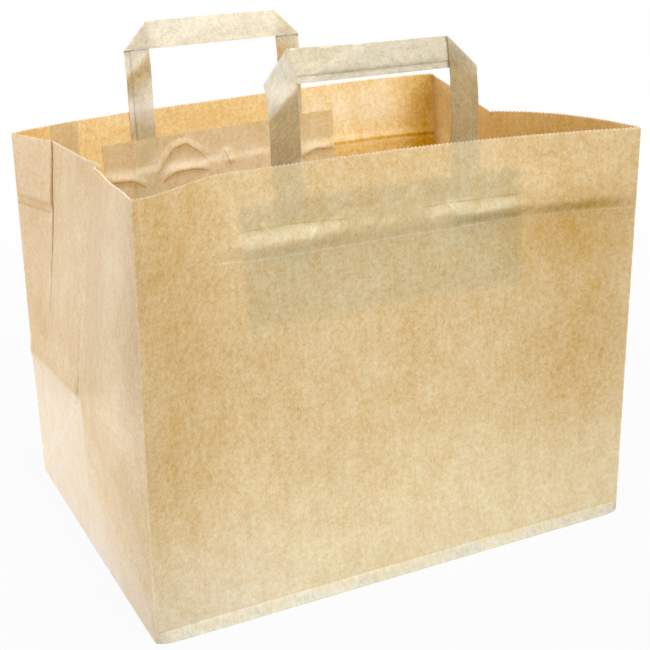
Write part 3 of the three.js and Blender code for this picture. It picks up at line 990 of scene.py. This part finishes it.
GUSSET_SHADE = [(u + 6, v + 4) for u, v in FRONT_DIAGONAL[:-2]]
FRONT_HALF = [(SHEET_ROUND - 42, 235), (SHEET_ROUND - 45, 125)]
FRONT_HALF_LINE = [(1049, 246), (1048, 196)]

# Each kind of mark: the lines, how far it reaches from them in millimetres, and how strong it is. On the
# kraft a mark below zero is painted shade; one above zero is painted light, and along the folds wear with
# painted highlight.
KRAFT_MARKS = [
    (WEAR_AND_HIGHLIGHT, 1.0, 0.12),
    ([FOOT_STRIP], 110, 0.18),
    (FRONT_SIDES, 55, -0.09),
    ([UNDER_RING], 32, -0.1),
    ([RING_SHADE], 5.5, -0.06),
    ([RIGHT_INSIDE], 60, -0.12),
    ([BACK_HALF], 45, -0.13),
    ([FRONT_HALF], 42, 0.1),
    ([GUSSET_SHADE], 7, -0.08),
    ([FAR_CORNER], 16, -0.18),
    ([BACK_CORNER], 26, -0.26),
    ([UNDER_CREASE], 9, -0.16),
    ([BACK_CREASE], 2.0, -0.3),
    ([PLEAT_CREASE], 1.6, -0.3),
    ([PLEAT_LINE], 0.9, -0.35),
    (SECOND_CREASE, 0.7, -0.17),
]
# Painted shade: dark lines in the pleat, a faint fold on the gusset's front half and the foot's fold, a
# painted contact shadow along the foot, and darker areas over the foot strip, the back corner and the ring
# crease
KRAFT_DARK = [
    ([PLEAT_LINE], 0.7, 0.24),
    ([FOOT_EDGE], 0.8, 0.2),
    ([FOOT_FOLD], 0.8, 0.08),
    ([FOOT_STRIP], 5.0, 0.2),
    ([BACK_CORNER], 22, 0.12),
    ([RING_SHADE], 5.5, 0.15),
    ([FRONT_HALF_LINE], 0.6, 0.12),
]
# Painted light: a highlight along the cut rim, on the diagonal creases, wrinkles and gusset ridge, and
# lighter areas over the foot and on the back panel's inside
KRAFT_PALE = [
    ([RIM], 2.2, 0.85),
    ([FOOT_STRIP], 4.0, 0.2),
    ([FOOT_CORNER], 75, 0.18),
    ([FRONT_DIAGONAL, BACK_DIAGONAL], 2.6, 0.6),
    (FRONT_WRINKLES, 1.0, 0.1),
    ([GUSSET_RIDGE], 1.2, 0.4),
    ([BACK_PAINTED_LIGHT], 25, 0.4),
]
# Painted light below a fold on the left gusset: its two ends, how strong it is beside the fold and at the
# foot
KRAFT_BELOW = [
    ((LEFT_START, 104), (LEFT_MIDDLE, 112), 0.55, 0.75),
    ((LEFT_MIDDLE, 105), (SHEET_ROUND, 60), 0.1, 0.95),
]

# Lines on the tape, across it and along it. Its second side starts beyond the first one's width.
NEAR_EDGE = TAPE_WIDTH + 1
FAR_EDGE = 2 * TAPE_WIDTH + 1
SEAM_PLACE = FAR_EDGE - SEAM * TAPE_WIDTH
# Painted shadow along the seam, at the bar's ends and under the bar, painted shade over the back bar, a
# painted highlight on the bent ear and painted light on a back leg
TAPE_SEAM = [(SEAM_PLACE, 0), (SEAM_PLACE, 310)]
BAR_ENDS = [[(NEAR_EDGE, 201.6), (FAR_EDGE, 188.6)], [(NEAR_EDGE, 105.6), (FAR_EDGE, 118.6)]]
BAR_SHADOW = [[(FAR_EDGE, 103.2), (NEAR_EDGE, 88)], [(FAR_EDGE, 204), (NEAR_EDGE, 219.2)]]
BAR_FACE = [(9, 115), (9, 192)]
EAR = [(3, 99), (14, 97)]
LEG_FOOT = [(20, 56), (34, 60)]
# Darker bands: where one starts along the tape, how soon it is full (negative upwards), where it ends. On
# the front legs they are painted shade.
FRONT_LEG_SHADE = [(88, 3, 32), (201, -14, 54)]
BACK_LEG_BANDS = [(88, 6, 8), (206, -22, 30)]

# Lines on the patches, across them and up the bag
BACK_PATCH_TOP = BACK["rim"] - PATCH_DROP
CREASE_DROP = 1.2
# Painted shade along the back patch's wrinkles, a painted highlight on its top edge, painted light over
# its lower face, and painted shade at the front patch's end
PATCH_CREASES = [
    [(x + PATCH_WIDTH / 2, BACK_PATCH_TOP + z - CREASE_DROP) for x, z in line] for line in BACK_WRINKLES
]
PATCH_EDGE = [(0, BACK_PATCH_TOP), (PATCH_WIDTH, BACK_PATCH_TOP)]
PATCH_FACE = [(15, BACK_PATCH_TOP - 25), (PATCH_WIDTH - 35, BACK_PATCH_TOP - 25)]
FRONT_PATCH_END = [(5, 232), (5, 160)]

# The studio, in metres and watts
BAG_CENTRE = (0, 0, 0.12)
PHOTO_WIDTH = 650
FOCAL_PIXELS = 1247.1
SENSOR_WIDTH = 36
CAMERA_PLACE = (-0.32821, -0.68632, 0.41322)
CAMERA_TURN = (68.833, 1.529, -26.518)
FLOOR_SIZE = 12
FLOOR_GREY = (0.4, 0.4, 0.4, 1)
WHITE = (1, 1, 1, 1)
WORLD_LIGHT = 0.1
# Each softbox: its place, size, power and the point that it is aimed at
SOFTBOXES = {
    "top_light": ((0.05, -0.12, 1.6), (0.6, 0.6), 20, BAG_CENTRE),
    "front_light": ((0.3, -1.4, 0.8), (0.8, 0.8), 12, BAG_CENTRE),
    "back_light": ((0, 1.4, 0.35), (0.8, 0.8), 9, BAG_CENTRE),
    "inside_light": ((0.06, -0.02, 0.38), (0.12, 0.12), 0.14, (0.06, 0.12, 0.22)),
    "side_light": ((-1.2, 0.5, 0.2), (0.5, 0.3), 5.2, BAG_CENTRE),
    "left_light": ((-0.5, 0.5, 0.05), (0.3, 0.3), 0.7, BAG_CENTRE),
    "left_low_light": ((-0.29, 0.05, 0.01), (0.35, 0.03), 0.18, BAG_CENTRE),
    "low_light": ((-0.05, -0.42, 0.02), (0.5, 0.04), 0.15, BAG_CENTRE),
}


def add_camera():
    scene = bpy.context.scene
    camera = bpy.data.objects.new("camera", bpy.data.cameras.new("camera"))
    camera.data.lens = FOCAL_PIXELS / PHOTO_WIDTH * SENSOR_WIDTH
    camera.location = CAMERA_PLACE
    camera.rotation_euler = [math.radians(angle) for angle in CAMERA_TURN]
    camera.data.clip_start = 0.01
    scene.collection.objects.link(camera)
    scene.camera = camera


def background_ray(nodes):
    """1 for a ray that sees the background, directly, in a gloss or through the object."""
    path = nodes.add("ShaderNodeLightPath")
    seen = nodes.math("MAXIMUM", path.outputs["Is Camera Ray"], path.outputs["Is Glossy Ray"])
    return nodes.math("MAXIMUM", seen, path.outputs["Is Transmission Ray"])


def add_floor():
    """A grey floor that takes the bag's shadow and looks white, fully so further out."""
    bpy.ops.mesh.primitive_plane_add(size=FLOOR_SIZE)
    floor = bpy.context.object
    floor.name = "floor"
    paint = bpy.data.materials.new("floor")
    paint.use_nodes = True
    nodes = Nodes(paint.node_tree)
    place = nodes.add("ShaderNodeTexCoord").outputs["Object"]
    far = nodes.vector("LENGTH", {0: place}).outputs["Value"]
    share = nodes.math("MULTIPLY", background_ray(nodes), nodes.ramp(far, 0.25, 0.9, 0.95, 1.0))
    matt = nodes.add("ShaderNodeBsdfDiffuse", {"Color": FLOOR_GREY})
    white = nodes.add("ShaderNodeEmission", {"Color": WHITE, "Strength": 1.0})
    both = nodes.add("ShaderNodeMixShader", {0: share, 1: matt.outputs[0], 2: white.outputs[0]})
    nodes.add("ShaderNodeOutputMaterial", {"Surface": both.outputs[0]})
    floor.data.materials.append(paint)


def add_softbox(name, place, size, power, target):
    lamp = bpy.data.lights.new(name, "AREA")
    lamp.shape = "RECTANGLE"
    lamp.size, lamp.size_y = size
    lamp.energy = power
    box = bpy.data.objects.new(name, lamp)
    box.location = place
    aim = Vector(target) - Vector(place)
    box.rotation_euler = aim.to_track_quat("-Z", "Y").to_euler()
    box.visible_camera = False
    bpy.context.scene.collection.objects.link(box)


def add_world():
    """Faint light from all sides, which is white where it is seen."""
    world = bpy.data.worlds.new("studio")
    world.use_nodes = True
    bpy.context.scene.world = world
    nodes = Nodes(world.node_tree)
    seen = background_ray(nodes)
    light = nodes.add("ShaderNodeBackground", {"Color": WHITE, "Strength": WORLD_LIGHT})
    white = nodes.add("ShaderNodeBackground", {"Color": WHITE, "Strength": 1.0})
    both = nodes.add("ShaderNodeMixShader", {0: seen, 1: light.outputs[0], 2: white.outputs[0]})
    nodes.add("ShaderNodeOutputWorld", {"Surface": both.outputs[0]})


def studio():
    bpy.context.scene.view_settings.view_transform = "Standard"
    add_camera()
    add_floor()
    for name, settings in SOFTBOXES.items():
        add_softbox(name, *settings)
    add_world()


# The bag's kraft, with wear and painted highlight along its folds, painted shade and painted light
kraft = paper_material("kraft", KRAFT, KRAFT_MARKS, KRAFT_DARK, KRAFT_PALE, KRAFT_BELOW)
lining = paper_material("lining", KRAFT)
# The back patch, with painted shade along its wrinkles and painted light on its top edge and face
creased = paper_material(
    "creased",
    KRAFT,
    marks=[(PATCH_CREASES, 1.2, -0.2)],
    dark=[(PATCH_CREASES, 0.6, 0.16)],
    pale=[([PATCH_EDGE], 1.0, 0.3), ([PATCH_FACE], 45, 0.3)],
)
# The front patch, with painted shade at one end, seen through the front panel
patch_paper = paper_material("patch_paper", PATCH_KRAFT, dark=[([FRONT_PATCH_END], 45, 0.3)])
# The front handle's tape, with painted shadow at its seam and bar ends, a painted highlight on its ear and
# painted shade over its lower legs
handled = paper_material(
    "handled",
    TAPE,
    dark=[([TAPE_SEAM], 0.5, 0.4), (BAR_ENDS, 0.9, 0.48)],
    pale=[([EAR], 14, 0.35)],
    dark_bands=FRONT_LEG_SHADE,
)
# The back handle's tape, with painted shadow at its seam and under the bar, painted shade over the bar,
# painted light on a leg and darker bands on its legs
tape = paper_material(
    "tape",
    TAPE,
    dark=[([TAPE_SEAM], 0.5, 0.32), (BAR_SHADOW, 1.2, 0.64), ([BAR_FACE], 20, 0.11)],
    pale=[([LEG_FOOT], 13, 0.65)],
    dark_bands=BACK_LEG_BANDS,
)
bag_tube(kraft)
side_seam(lining)
base(lining)
handle("front_handle", FRONT, handled)
handle("back_handle", BACK, tape)
patch("front_patch", FRONT, patch_paper, smooth_patch)
patch("back_patch", BACK, creased, creased_patch)
studio()
